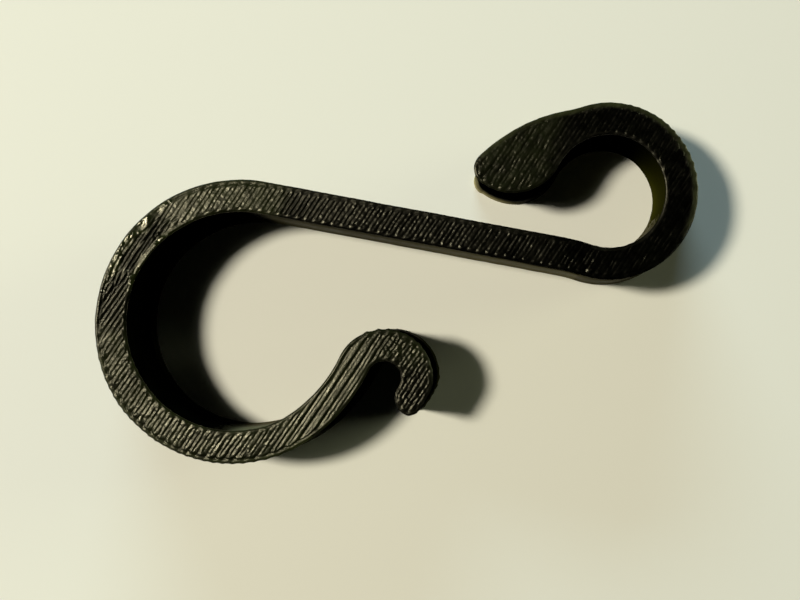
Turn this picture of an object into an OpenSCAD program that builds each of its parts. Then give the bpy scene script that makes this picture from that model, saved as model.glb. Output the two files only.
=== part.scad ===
// Flat S-shaped hook: one strip of plastic standing on edge, bent into a large rod loop
// with a curled lip, a straight shank, and a small ring loop that ends in a leaf-shaped tip.
// Units are millimetres. The hook lies on its side, so Z runs through the strip's height.

/* [Strip] */

// Width of the strip, seen along Z
strip_w = 3.2; // [2.6:0.05:4.2]

// Height of the strip, along Z
strip_h = 6; // [4:0.1:10]

/* [Shank] */

// Length of the straight part between the two loops
shank_len = 30; // [20:0.5:60]

// Centre-line radius of the slight dip where the shank runs into the ring loop
dip_r = 18; // [8:0.5:40]

// Angle that the dip turns through
dip_turn = 8.3; // [4:0.1:12]

/* [Rod loop] */

// Inner radius of the crown, the first bend after the shank
crown_r = 11.2; // [10.6:0.05:14]

// Angle that the crown turns through
crown_turn = 110.8; // [95:0.2:125]

// Inner radius of the seat, the bend that holds the rod
seat_r = 10.45; // [8:0.05:11]

// Angle that the seat turns through
seat_turn = 116; // [110:0.5:122]

// Inner radius of the easy bend that leads from the seat to the lip
toe_r = 14.4; // [11:0.1:20]

// Angle that the easy bend turns through
toe_turn = 28; // [18:0.5:36]

/* [Curled lip] */

// Inner radius of the curl
curl_r = 1.7; // [1:0.05:2.6]

// Angle that the curl turns back through
curl_turn = 190; // [150:1:200]

/* [Ring loop] */

// Inner radius of the ring loop
ring_r = 5.6; // [4:0.05:8]

/* [Leaf tip] */

// Distance from the ring loop's centre to the centre of the leaf's rounded end
leaf_len = 11.95; // [10.5:0.05:13.5]

// Direction of that end from the ring loop's centre, counter-clockwise from the shank
leaf_dir = 179.7; // [174:0.1:186]

// Radius of the rounded end
tip_r = 1.7; // [1:0.05:2.2]

// Radius of the spine, the long outer side of the leaf, away from the shank
spine_r = 17.2; // [14:0.1:24]

// Radius of the belly of the leaf, towards the shank
belly_r = 5.2; // [4.6:0.05:6.4]

// Depth that the spine's circle cuts in behind the ring loop's outline by, at the neck
neck_depth = 0.54; // [0.2:0.02:1]

// Radius of the hollow at the neck, where the spine leaves the ring loop
neck_r = 8; // [3:0.5:14]

/* [Hidden] */

$fn = 180;

plastic = [0.07, 0.07, 0.065];

half_w = strip_w / 2;

// Centre-line radii. A bend to the left counts as positive, and one to the right as negative.
dip_bend = -dip_r;
ring_bend = ring_r + half_w;
crown_bend = crown_r + half_w;
seat_bend = seat_r + half_w;
toe_bend = toe_r + half_w;
curl_bend = -(curl_r + half_w);

// A bend starts at p with heading h and has radius r: its centre, and its end after a turn a.
function bend_centre(p, h, r) = p + r * [-sin(h), cos(h)];
function bend_end(p, h, r, a) = bend_centre(p, h, r) + r * [sin(h + a), -cos(h + a)];

// The point at distance rp from p and rq from q, to the left of the line from p to q
function meet(p, rp, q, rq) =
    let (
        gap = norm(q - p),
        along = (rp * rp - rq * rq + gap * gap) / (2 * gap),
        aside = sqrt(rp * rp - along * along),
        u = (q - p) / gap
    )
    p + along * u + aside * [-u[1], u[0]];

function heading(p, q) = atan2(q[1] - p[1], q[0] - p[0]);
function polar(r, a) = r * [cos(a), sin(a)];

// Right end: the shank, the dip, then the ring loop
shank_end = [shank_len, 0];
dip_end = bend_end(shank_end, 0, dip_bend, -dip_turn);
ring_head = -dip_turn;
ring_c = bend_centre(dip_end, ring_head, ring_bend);
ring_out = ring_r + strip_w;

// Left end: the crown, the seat and the easy bend, one after another, then the curled lip
shank_start = [0, 0];
crown_head = 180;
crown_c = bend_centre(shank_start, crown_head, crown_bend);
seat_start = bend_end(shank_start, crown_head, crown_bend, crown_turn);
seat_head = crown_head + crown_turn;
seat_c = bend_centre(seat_start, seat_head, seat_bend);
toe_start = bend_end(seat_start, seat_head, seat_bend, seat_turn);
toe_head = seat_head + seat_turn;
curl_start = bend_end(toe_start, toe_head, toe_bend, toe_turn);
curl_head = toe_head + toe_turn;
lip_end = bend_end(curl_start, curl_head, curl_bend, -curl_turn);
lip_head = curl_head - curl_turn;

// The leaf's arcs touch one another in turn: neck, spine, rounded end and belly.
// Each pair meets on the line through its two centres, in the direction named here.
tip_c = ring_c + polar(leaf_len, leaf_dir);
spine_c = meet(ring_c, spine_r - ring_out + neck_depth, tip_c, spine_r - tip_r);
belly_c = meet(tip_c, belly_r - tip_r, ring_c, ring_r + belly_r);
neck_c = meet(spine_c, spine_r + neck_r, ring_c, ring_out + neck_r);

ring_to_neck = heading(ring_c, neck_c);
spine_to_neck = heading(spine_c, neck_c);
spine_to_tip = heading(spine_c, tip_c);
belly_to_tip = heading(belly_c, tip_c);
ring_to_belly = heading(ring_c, belly_c);

// The ring loop runs on until it meets the belly
ring_turn = (ring_to_belly - (ring_head - 90) + 360) % 360;
ring_end = bend_end(dip_end, ring_head, ring_bend, ring_turn);

// How thick a band of the leaf lies round the hollow at the neck
neck_band = half_w;

// How far round the ring the leaf is rooted in it, in degrees
root = 10;

// Middle of the whole hook, which goes over the origin
x_low = crown_c[0] - crown_bend - half_w;
x_high = ring_c[0] + ring_out;
y_low = seat_c[1] - seat_bend - half_w;
y_high = ring_c[1] + ring_out;
middle = [(x_low + x_high) / 2, (y_low + y_high) / 2];

// Wider than any bend of the hook, for the sides of a dividing line
far = 3 * max(crown_bend, seat_bend, toe_bend, dip_r, spine_r);

// The round step that a place is first measured in
round_step = 0.001;

// Moves to p in round steps and then by the rest, which keeps every digit of p
module place(p) {
    coarse = [round(p[0] / round_step), round(p[1] / round_step)] * round_step;
    translate(coarse)
        translate(p - coarse)
            children();
}

// All that lies ahead of the line across the heading h at p, or all that lies behind it
module ahead(p, h) {
    across = polar(far, h + 90);
    place(p)
        polygon([across, -across, polar(far, h) - across, polar(far, h) + across]);
}

module behind(p, h) {
    across = polar(far, h + 90);
    place(p)
        polygon([across, -across, -polar(far, h) - across, -polar(far, h) + across]);
}

module disc(c, r) {
    place(c)
        circle(r = r);
}

module ring(c, inner, outer) {
    place(c)
        difference() {
            circle(r = outer);
            circle(r = inner);
        }
}

// One bend of the strip: it starts at p with heading h and turns by a
module bend(p, h, r, a) {
    q = bend_end(p, h, r, a);
    intersection() {
        ring(bend_centre(p, h, r), abs(r) - half_w, abs(r) + half_w);
        if (abs(a) < 180)
            intersection() {
                ahead(p, h);
                behind(q, h + a);
            }
        else
            union() {
                ahead(p, h);
                behind(q, h + a);
            }
    }
}

module shank() {
    translate([0, -half_w])
        square([shank_len, strip_w]);
}

module rod_loop() {
    bend(shank_start, crown_head, crown_bend, crown_turn);
    bend(seat_start, seat_head, seat_bend, seat_turn);
    bend(toe_start, toe_head, toe_bend, toe_turn);
}

module curled_lip() {
    bend(curl_start, curl_head, curl_bend, -curl_turn);
    intersection() {
        disc(lip_end, half_w);
        ahead(lip_end, lip_head);
    }
}

module ring_loop() {
    bend(shank_end, 0, dip_bend, -dip_turn);
    bend(dip_end, ring_head, ring_bend, ring_turn);
}

// The wedge between the spine and the belly that the rounded end fills
module tip_wedge() {
    intersection() {
        ahead(spine_c + polar(spine_r, spine_to_tip), spine_to_tip + 90);
        behind(belly_c + polar(belly_r, belly_to_tip), belly_to_tip + 90);
    }
}

module leaf() {
    difference() {
        intersection() {
            disc(spine_c, spine_r);
            behind(spine_c + polar(spine_r, spine_to_neck), spine_to_neck - 90);
            union() {
                intersection() {
                    disc(belly_c, belly_r);
                    ahead(ring_end, ring_head + ring_turn);
                }
                polygon([
                    belly_c + polar(half_w, ring_to_belly + 90),
                    ring_c + polar(ring_out, ring_to_belly) + polar(half_w, ring_to_belly + 90),
                    ring_c + polar(ring_bend, ring_to_belly - root),
                    ring_c + polar(ring_bend, ring_to_neck - root),
                    neck_c,
                    tip_c + polar(belly_r, spine_to_tip)
                ]);
            }
        }
        tip_wedge();
    }
    intersection() {
        disc(tip_c, tip_r);
        tip_wedge();
    }
    intersection() {
        ring(neck_c, neck_r, neck_r + neck_band);
        behind(ring_c + polar(ring_out, ring_to_neck), ring_to_neck - 90);
        ahead(spine_c + polar(spine_r, spine_to_neck), spine_to_neck - 90);
    }
}

module s_hook() {
    color(plastic)
        translate([-middle[0], -middle[1], 0])
            linear_extrude(height = strip_h) {
                shank();
                rod_loop();
                curled_lip();
                ring_loop();
                leaf();
            }
}

s_hook();
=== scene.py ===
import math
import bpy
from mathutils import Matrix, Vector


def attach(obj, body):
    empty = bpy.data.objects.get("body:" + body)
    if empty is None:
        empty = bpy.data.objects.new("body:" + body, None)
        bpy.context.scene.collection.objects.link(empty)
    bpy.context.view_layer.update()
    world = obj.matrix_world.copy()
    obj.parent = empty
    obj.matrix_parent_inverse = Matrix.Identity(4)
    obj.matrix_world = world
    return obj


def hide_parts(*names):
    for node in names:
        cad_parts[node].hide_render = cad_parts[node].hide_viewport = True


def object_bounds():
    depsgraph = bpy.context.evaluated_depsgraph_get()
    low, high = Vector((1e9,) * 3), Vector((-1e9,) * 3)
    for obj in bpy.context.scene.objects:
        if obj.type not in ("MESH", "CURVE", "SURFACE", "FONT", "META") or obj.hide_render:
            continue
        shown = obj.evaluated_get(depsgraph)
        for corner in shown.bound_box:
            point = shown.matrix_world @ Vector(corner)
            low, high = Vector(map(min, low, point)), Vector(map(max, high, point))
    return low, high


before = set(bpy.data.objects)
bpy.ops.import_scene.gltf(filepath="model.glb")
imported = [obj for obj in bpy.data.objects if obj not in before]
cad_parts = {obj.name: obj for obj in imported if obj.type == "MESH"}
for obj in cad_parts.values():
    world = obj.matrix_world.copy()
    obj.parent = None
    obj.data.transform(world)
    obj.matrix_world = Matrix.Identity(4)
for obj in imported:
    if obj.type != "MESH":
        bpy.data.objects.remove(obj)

# The looks of a printed S hook. Two pieces stand for its one solid: the top layer with its printed
# lines, and the layers below it, whose edges show on the walls. Sizes are in mm, in the CAD's frame,
# and angles in degrees, unless a comment says otherwise. The noises depend on the place and a seed
# number alone, so each run gives the same hook.

from types import SimpleNamespace

import bpy
import numpy as np
from mathutils import Vector
from mathutils.geometry import delaunay_2d_cdt
from mathutils.kdtree import KDTree

cad_lo, cad_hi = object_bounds()
MM = 0.001

# ---------------- the hook's sizes, as in the part's source
STRIP_W, STRIP_H = 3.2, 6.0
HALF = STRIP_W / 2
SHANK_LEN = 30.0
DIP_R, DIP_TURN = 18.0, 8.3
CROWN_R, CROWN_TURN = 11.2, 110.8
SEAT_R, SEAT_TURN = 10.45, 116.0
TOE_R, TOE_TURN = 14.4, 28.0
CURL_R, CURL_TURN = 1.7, 190.0
RING_R = 5.6
LEAF_LEN, LEAF_DIR = 11.95, 179.7
TIP_R, SPINE_R, BELLY_R = 1.7, 17.2, 5.2
NECK_DEPTH, NECK_R = 0.54, 8.0

# ---------------- the print
LAYER = 0.2
LAYERS = round(STRIP_H / LAYER)
PX_PER_MM = 10.1                       # the photo's scale on the hook's top
LINE_PX = 4.25                         # from one printed line to the next, in the photo
PITCH = LINE_PX / PX_PER_MM            # the same in mm: 0.42
LINE_DIR = math.radians(66.724)        # the way the top layer's lines run
LINE_D = np.array([math.cos(LINE_DIR), math.sin(LINE_DIR)])
LINE_E = np.array([math.sin(LINE_DIR), -math.cos(LINE_DIR)])
LINE_ZERO = -112.9765                  # where line 0 runs, in lines from the frame's origin
BEAD = 0.21                            # half the width of the bead that runs round the edge
TOP_KNOB, WALL_KNOB = 0.07, 0.05       # how far the lines' turns push out the top's edge and the walls
WALL_INSET = 0.13                      # how far the walls stand back from the top layer's edge


# ---------------- the chain of bends, as in the part's source
def polar(r, deg):
    a = np.radians(deg)
    return r * np.stack([np.cos(a), np.sin(a)], -1)


def bend_centre(p, h, r):
    return p + r * np.array([-math.sin(math.radians(h)), math.cos(math.radians(h))])


def bend_end(p, h, r, a):
    out = math.radians(h + a)
    return bend_centre(p, h, r) + r * np.array([math.sin(out), -math.cos(out)])


def meet(p, rp, q, rq):
    """The point at distance rp from p and rq from q, to the left of the line from p to q."""
    gap = np.linalg.norm(q - p)
    along = (rp * rp - rq * rq + gap * gap) / (2 * gap)
    aside = math.sqrt(rp * rp - along * along)
    u = (q - p) / gap
    return p + along * u + aside * np.array([-u[1], u[0]])


def heading(p, q):
    return math.degrees(math.atan2(q[1] - p[1], q[0] - p[0]))


dip_bend, ring_bend = -DIP_R, RING_R + HALF
crown_bend, seat_bend = CROWN_R + HALF, SEAT_R + HALF
toe_bend, curl_bend = TOE_R + HALF, -(CURL_R + HALF)
ring_out = RING_R + STRIP_W
shank_start, shank_end = np.array([0.0, 0.0]), np.array([SHANK_LEN, 0.0])
dip_c = bend_centre(shank_end, 0, dip_bend)
dip_end = bend_end(shank_end, 0, dip_bend, -DIP_TURN)
ring_head = -DIP_TURN
ring_c = bend_centre(dip_end, ring_head, ring_bend)
crown_c = bend_centre(shank_start, 180, crown_bend)
seat_start = bend_end(shank_start, 180, crown_bend, CROWN_TURN)
seat_head = 180 + CROWN_TURN
seat_c = bend_centre(seat_start, seat_head, seat_bend)
toe_start = bend_end(seat_start, seat_head, seat_bend, SEAT_TURN)
toe_head = seat_head + SEAT_TURN
toe_c = bend_centre(toe_start, toe_head, toe_bend)
curl_start = bend_end(toe_start, toe_head, toe_bend, TOE_TURN)
curl_head = toe_head + TOE_TURN
curl_c = bend_centre(curl_start, curl_head, curl_bend)
lip_end = bend_end(curl_start, curl_head, curl_bend, -CURL_TURN)
lip_head = curl_head - CURL_TURN
tip_c = ring_c + polar(LEAF_LEN, LEAF_DIR)
spine_c = meet(ring_c, SPINE_R - ring_out + NECK_DEPTH, tip_c, SPINE_R - TIP_R)
belly_c = meet(tip_c, BELLY_R - TIP_R, ring_c, RING_R + BELLY_R)
neck_c = meet(spine_c, SPINE_R + NECK_R, ring_c, ring_out + NECK_R)
ring_to_neck, spine_to_neck = heading(ring_c, neck_c), heading(spine_c, neck_c)
spine_to_tip, belly_to_tip = heading(spine_c, tip_c), heading(belly_c, tip_c) % 360
ring_to_belly = heading(ring_c, belly_c)
x_low, x_high = crown_c[0] - crown_bend - HALF, ring_c[0] + ring_out
y_low, y_high = seat_c[1] - seat_bend - HALF, ring_c[1] + ring_out
middle = np.array([(x_low + x_high) / 2, (y_low + y_high) / 2])

crown_a0, crown_a1 = 90.0, 90.0 + CROWN_TURN
seat_a1 = crown_a1 + SEAT_TURN
toe_a1 = seat_a1 + TOE_TURN
curl_a0 = curl_head + 90 - 360
curl_a1 = curl_a0 - CURL_TURN
lip_a0 = lip_head - 90

# The outline, counter-clockwise. A straight piece is its name, two ends and outward direction. A round
# one is its name, centre, radius, first and last angle, and 1 where it bulges or -1 where it is hollow.
OUTLINE = [
    ("shank_low", (0.0, -HALF), (SHANK_LEN, -HALF), (0.0, -1.0)),
    ("dip_low", dip_c, DIP_R - HALF, 90.0, 90.0 - DIP_TURN, -1),
    ("ring_out", ring_c, ring_out, ring_head - 90, ring_to_neck, 1),
    ("neck", neck_c, NECK_R, ring_to_neck + 180, spine_to_neck + 180, -1),
    ("spine", spine_c, SPINE_R, spine_to_neck, spine_to_tip, 1),
    ("tip", tip_c, TIP_R, spine_to_tip, belly_to_tip, 1),
    ("belly", belly_c, BELLY_R, belly_to_tip, ring_to_belly + 180, 1),
    ("ring_in", ring_c, RING_R, ring_to_belly, ring_head - 90, -1),
    ("dip_high", dip_c, DIP_R + HALF, 90.0 - DIP_TURN, 90.0, 1),
    ("shank_high", (SHANK_LEN, HALF), (0.0, HALF), (0.0, 1.0)),
    ("crown_out", crown_c, CROWN_R + STRIP_W, crown_a0, crown_a1, 1),
    ("seat_out", seat_c, SEAT_R + STRIP_W, crown_a1, seat_a1, 1),
    ("toe_out", toe_c, TOE_R + STRIP_W, seat_a1, toe_a1, 1),
    ("curl_in", curl_c, CURL_R, curl_a0, curl_a1, -1),
    ("lip", lip_end, HALF, lip_a0, lip_a0 + 180, 1),
    ("curl_out", curl_c, CURL_R + STRIP_W, curl_a1, curl_a0, 1),
    ("toe_in", toe_c, TOE_R, toe_a1, seat_a1, -1),
    ("seat_in", seat_c, SEAT_R, seat_a1, crown_a1, -1),
    ("crown_in", crown_c, CROWN_R, crown_a1, crown_a0, -1),
]
INDEX = {piece[0]: k for k, piece in enumerate(OUTLINE)}


def on(kind, *names):
    """True for the points whose piece of the outline is one of those named."""
    return np.isin(kind, [INDEX[name] for name in names])


def by_piece(kind, plain, others):
    """The plain value, or the one that others gives for a point's piece of the outline."""
    value = np.full(len(kind), plain)
    for names, other in others:
        value[on(kind, *names)] = other
    return value


# ---------------- ramps and noises
def ease(f):
    return f * f * (3 - 2 * f)


def fade(start, end, x):
    """0 at start and 1 at end, smooth in between and level beyond; end may be the lower of the two."""
    if end < start:
        return 1 - fade(end, start, x)
    return ease(np.clip((x - start) / (end - start), 0, 1))


def bump(x, at, width):
    """A bell of height 1."""
    return np.exp(-0.5 * ((x - at) / width) ** 2)


def rnd(i, j=0.0):
    """A number from 0 to 1 that depends on i and j alone."""
    v = np.sin(np.asarray(i) * 127.1 + np.asarray(j) * 311.7) * 43758.5453
    return v - np.floor(v)


def either(i, j):
    """The same from -1 to 1."""
    return rnd(i, j) * 2 - 1


def noise1(x, size=1.0, seed=0, shift=0.0):
    """Smooth noise from -1 to 1, whose waves are about size long; shift tells lines apart."""
    x = x / size + shift
    i = np.floor(x)
    f = ease(x - i)
    return (rnd(i, seed) * (1 - f) + rnd(i + 1, seed) * f) * 2 - 1


def noise2(x, y, size, seed):
    """The same over a face; size is one length, or one for x and one for y."""
    wide, long = np.broadcast_to(size, 2)
    x, y = x / wide, y / long
    i, j = np.floor(x), np.floor(y)
    f, g = ease(x - i), ease(y - j)
    low, high = j + seed * 57.3, j + 1 + seed * 57.3
    a = rnd(i, low) * (1 - f) + rnd(i + 1, low) * f
    b = rnd(i, high) * (1 - f) + rnd(i + 1, high) * f
    return (a * (1 - g) + b * g) * 2 - 1


# ---------------- the outline as points
def outline(spacing):
    """Points of the outline with their outward normals, piece, angle on it and way round."""
    pts, nrm, kind, ang = [], [], [], []
    for k, piece in enumerate(OUTLINE):
        if len(piece) == 4:
            _, a, b, outward = piece
            a, b = np.array(a), np.array(b)
            n = max(2, round(np.linalg.norm(b - a) / spacing))
            f = np.arange(n)[:, None] / n
            pts.append(a + (b - a) * f)
            nrm.append(np.repeat([outward], n, 0))
            ang.append(f[:, 0] * np.linalg.norm(b - a))    # on a straight piece, mm from its start
        else:
            _, centre, r, a0, a1, sign = piece
            n = max(2, round(abs(math.radians(a1 - a0)) * r / spacing))
            a = a0 + (a1 - a0) * np.arange(n) / n
            pts.append(np.asarray(centre) + polar(r, a))
            nrm.append(sign * polar(1.0, a))
            ang.append(a)
        kind.append(np.full(n, k))
    pts, nrm = np.concatenate(pts) - middle, np.concatenate(nrm)
    kind, ang = np.concatenate(kind), np.concatenate(ang)
    run = np.linalg.norm(np.roll(pts, -1, 0) - pts, axis=1)
    along = np.concatenate([[0], np.cumsum(run)[:-1]])
    return pts, nrm, kind, ang, along


def drift(kind, ang, along):
    """How far the real outline strays from the clean one, outwards, in mm."""
    out = np.zeros(len(kind))
    # the rod loop: thin at its upper left, fuller from the left down
    for name, thin in (("crown_in", -0.10), ("crown_out", -0.06)):
        m = on(kind, name)
        out[m] += thin * bump(ang[m], at=165, width=22)
    for name, full in (("seat_in", 0.09), ("seat_out", 0.05)):
        m = on(kind, name)
        out[m] += full * fade(203, 225, ang[m]) * fade(305, 270, ang[m])
    # the lip's end is pressed flat on its outer corner and drawn out below it
    pressed = 0.26
    m = on(kind, "lip")
    flat = pressed * fade(lip_a0 + 140, lip_a0 + 172, ang[m])
    out[m] += 0.20 * bump(ang[m], at=lip_a0 + 112, width=24) - flat
    m = on(kind, "curl_out")
    out[m] -= pressed * fade(curl_a1 + 34, curl_a1 + 6, ang[m])
    out += 0.018 * noise1(along, 2.3, seed=3) + 0.010 * noise1(along, 0.7, seed=5)
    return out


KNOB_GAIN = {
    "shank_low": 0.35, "dip_low": 0.4, "neck": 0.3, "spine": 0.35, "tip": 0.6, "belly": 0.5, "ring_in": 0.45,
    "dip_high": 0.3, "shank_high": 0.15, "crown_out": 0.12, "seat_out": 1.2, "toe_out": 0.35, "curl_in": 0.8,
    "lip": 1.3, "curl_out": 2.0, "toe_in": 0.35, "seat_in": 0.5, "crown_in": 0.3,
}


def knob_gain(kind, ang):
    """How strongly the knobs show at each point of the outline."""
    gain = by_piece(kind, 0.0, [((name,), g) for name, g in KNOB_GAIN.items()])
    m = on(kind, "ring_out")
    gain[m] = 0.4 + 1.1 * fade(-20, 5, ang[m]) * fade(110, 80, ang[m])
    m = on(kind, "crown_out")
    gain[m] += 0.7 * fade(160, 190, ang[m])
    return gain


def knobs(pts, nrm, direction, seed):
    """The turning points of a layer's lines push the edge out in small knobs, one to two lines."""
    d = np.array([math.cos(direction), math.sin(direction)])
    e = np.array([d[1], -d[0]])
    pair = pts @ e / (2 * PITCH) + rnd(seed, 2)
    facing = nrm @ d
    wave = 0.5 + 0.5 * np.cos(2 * math.pi * (pair + np.where(facing > 0, 0.5, 0.0)))
    size = 0.6 + 0.5 * noise1(pair * 0.7 + 11 * seed, seed=15)
    return (wave ** 2 - 0.4) * size * fade(0.2, 0.7, np.abs(facing))


# ---------------- where the printed lines run
# How far the lines lie off their even places: x, y and the shift as a share of the pitch
LINE_SHIFT = [
    (-14.0, 5.5, 0.30), (-19.5, 4.2, 0.20), (-25.6, -2.0, 0.42), (-26.8, -6.4, 0.28), (-26.7, -9.5, 0.18),
    (-25.9, -12.6, 0.14), (-22.9, -16.4, 0.20), (-18.5, -19.0, 0.28), (-13.0, -19.5, 0.26),
    (-8.0, -17.6, 0.35), (-5.0, -15.0, 0.41), (-2.6, -11.0, 0.37), (1.0, -6.8, 0.27), (5.5, -10.5, -0.05),
    (-6.0, 5.5, 0.27), (2.0, 5.5, 0.25), (9.0, 5.5, 0.27), (13.5, 5.5, 0.34), (18.5, 5.3, 0.36),
    (21.5, 5.6, 0.20), (24.5, 7.2, 0.05), (26.5, 10.5, 0.0), (26.6, 14.0, -0.10), (24.8, 17.5, -0.20),
    (21.0, 19.4, -0.28), (16.5, 18.9, -0.26), (12.8, 16.3, -0.22), (9.5, 14.5, 0.10), (7.2, 12.5, 0.20),
]
SHIFT_REACH = 2.2


def line_shift(x, y):
    num, den = np.zeros_like(x), np.full_like(x, 1e-9)
    for cx, cy, v in LINE_SHIFT:
        w = np.exp(-((x - cx) ** 2 + (y - cy) ** 2) / (2 * SHIFT_REACH ** 2))
        num += w * v
        den += w
    return num / den


def line_number(x, y):
    """Running number of the printed line at a point; whole numbers are the crests."""
    return (x * LINE_E[0] + y * LINE_E[1]) / PITCH - LINE_ZERO - line_shift(x, y)


# ---------------- the areas of the top face
# An area is 1 inside and 0 outside. It fades from 0 to 1 between each pair of places here, along x or y
# or by the angle round the crown's centre.
AREAS = {
    "crown": (("turn", 76, 88), ("turn", 142, 128), ("x", -4.5, -8.5), ("y", -6.0, -3.0)),
    "side": (("turn", 130, 145), ("turn", 196, 186), ("x", -6.0, -10.0)),
    "left": (("turn", 178, 188), ("turn", 232, 218), ("x", -6.0, -10.0)),
    "faint": (("turn", 124, 146), ("turn", 246, 212), ("x", -6.0, -10.0)),
    "smeared": (("turn", 124, 134), ("turn", 180, 166)),
    "grooved": (("turn", 124, 132), ("turn", 184, 172)),
    "seat": (("y", -8.0, -11.5), ("x", -5.5, -9.0)),
    "toe": (("x", -9.0, -6.0), ("x", 0.6, -1.6), ("y", -2.5, -4.0)),
    "stem": (("x", -8.5, -4.5), ("x", 0.6, -1.6), ("y", -5.4, -6.6)),
    "curl": (("x", -1.2, 0.6), ("y", -4.0, -4.5)),
    "curl_end": (("x", -1.2, 0.6), ("y", -4.0, -4.5), ("y", -6.0, -8.0)),
    "curl_foot": (("x", -1.2, 0.6), ("y", -4.0, -4.5), ("y", -6.5, -9.5)),
    "shank": (("x", -11.0, -4.0), ("y", 0.0, 2.0)),
    "shank_start": (("x", -2.0, -14.0), ("y", 0.0, 2.0)),
    "past_start": (("x", -9.0, -3.0), ("y", 0.0, 2.0)),
    "far": (("x", -9.0, 13.0), ("y", -2.5, -0.5)),
    "farther": (("x", 2.0, 14.0), ("y", 0.0, 2.0)),
    "shank_end": (("x", 7.0, 14.5), ("y", 0.0, 2.0)),
    "dip": (("x", 6.0, 13.0), ("y", 0.0, 2.0), ("y", 16.0, 10.0)),
    "ring": (("x", 14.5, 17.0),),
    "ring_top": (("y", 10.0, 17.0),),
    "leaf": (("x", 15.0, 12.0), ("y", 9.0, 10.0)),
}


def areas(x, y):
    """The areas' shares at each point, with its angle on the crown and share of the strip's width."""
    cx, cy = crown_c - middle
    turn = np.degrees(np.arctan2(y - cy, x - cx)) % 360
    width = (np.hypot(x - cx, y - cy) - CROWN_R) / STRIP_W
    place = {"x": x, "y": y, "turn": turn}
    area = SimpleNamespace(turn=turn, width=width)
    for name, edges in AREAS.items():
        share = 1.0
        for way, start, end in edges:
            share = share * fade(start, end, place[way])
        setattr(area, name, share)
    # the smeared, bumpy patch on the upper left of the rod loop, and the shank's end with the ring
    outer = fade(0.55, 0.80, width + 0.12 * noise1(turn, 5.0, seed=9))
    area.melt = area.smeared * np.maximum(outer, 0.8 * fade(0.26, 0.12, width))
    area.end = area.shank_end * (1 - area.leaf) * (1 - 0.45 * area.ring_top)
    return area


def blend(area, base=0.0, **weights):
    """The base, plus the weight of each area named as far as the point lies in it."""
    value = base
    for name, weight in weights.items():
        value = value + weight * getattr(area, name)
    return value


def ring_back(kind, ang):
    """1 along the outer edge of the ring and the leaf, as far as the leaf's tip."""
    return on(kind, "ring_out") * fade(-25, 0, ang) + on(kind, "spine", "neck")


# Spots where the plastic melted into shiny lumps: x, y, half length, half width, turn and height, of
# which the share LUMP_RISE stands out
LUMP_RISE = 0.6
LUMPS = [
    (-23.28, -0.31, 0.34, 0.26, 40, 0.075), (-22.86, -0.45, 0.30, 0.20, -30, 0.08),
    (-23.60, -0.87, 0.20, 0.17, 0, 0.07), (-22.92, -0.86, 0.18, 0.15, 0, 0.06),
    (-23.55, 0.10, 0.20, 0.16, 0, 0.05), (-23.90, -0.48, 0.22, 0.18, 0, 0.05),
    (-25.19, -4.69, 0.42, 0.36, 60, 0.085), (-25.80, -4.40, 0.34, 0.22, 30, 0.06),
    (-25.25, -5.30, 0.24, 0.20, 0, 0.05), (-25.50, -5.00, 0.26, 0.20, 0, 0.05),
    (-24.95, 1.38, 0.46, 0.34, 45, 0.05), (-25.50, 0.88, 0.36, 0.30, 45, 0.055),
    (-25.30, 1.20, 0.14, 0.12, 0, 0.05), (-25.96, -0.50, 0.34, 0.24, 60, 0.06),
    (-25.45, -0.15, 0.20, 0.16, 0, 0.07), (-26.55, -0.75, 0.40, 0.30, 60, 0.05),
    (-26.96, -1.60, 0.42, 0.32, 70, 0.055), (-27.00, -2.30, 0.16, 0.14, 0, 0.06),
    (-27.30, -2.65, 0.18, 0.14, 0, 0.065), (-26.75, -2.75, 0.26, 0.14, 20, 0.06),
    (-27.60, -3.10, 0.20, 0.16, 0, 0.05), (-27.45, -3.95, 0.20, 0.16, 0, 0.07),
    (-27.90, -4.35, 0.18, 0.15, 0, 0.075), (-27.05, -4.45, 0.24, 0.16, 70, 0.07),
    (-27.55, -4.95, 0.18, 0.15, 0, 0.05), (-27.97, -5.55, 0.30, 0.16, 80, 0.06),
    (-28.00, -6.45, 0.36, 0.18, 85, 0.075), (-22.98, 3.42, 0.20, 0.16, 0, 0.07),
    (-23.35, 3.10, 0.30, 0.20, 45, 0.04), (-27.60, -7.30, 0.22, 0.16, 80, 0.05),
    (-22.94, -0.26, 0.27, 0.20, 60, 0.20), (-22.67, -0.60, 0.24, 0.19, 80, 0.19),
    (-23.49, -0.91, 0.24, 0.20, 0, 0.18), (-23.22, -1.27, 0.22, 0.19, 0, 0.18),
    (-24.92, -4.89, 0.36, 0.18, 80, 0.20), (-25.37, -4.68, 0.26, 0.17, 20, 0.17),
    (-25.13, -5.69, 0.22, 0.18, 40, 0.17), (7.60, 12.55, 0.30, 0.18, 100, 0.05),
    (10.96, 12.70, 0.16, 0.12, 60, 0.05), (13.40, 14.50, 0.18, 0.13, 60, 0.04),
]
# The thin dark grooves that run along the strip there: first and last angle, place as a share of the
# strip's width, and depth
GROOVES = [
    (128, 172, 0.34, 0.07), (131, 178, 0.47, 0.08), (134, 180, 0.60, 0.07), (150, 184, 0.74, 0.05),
    (136, 164, 0.22, 0.06),
]
GROOVE_W, GROOVE_FADE = 0.085, 4


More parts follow.
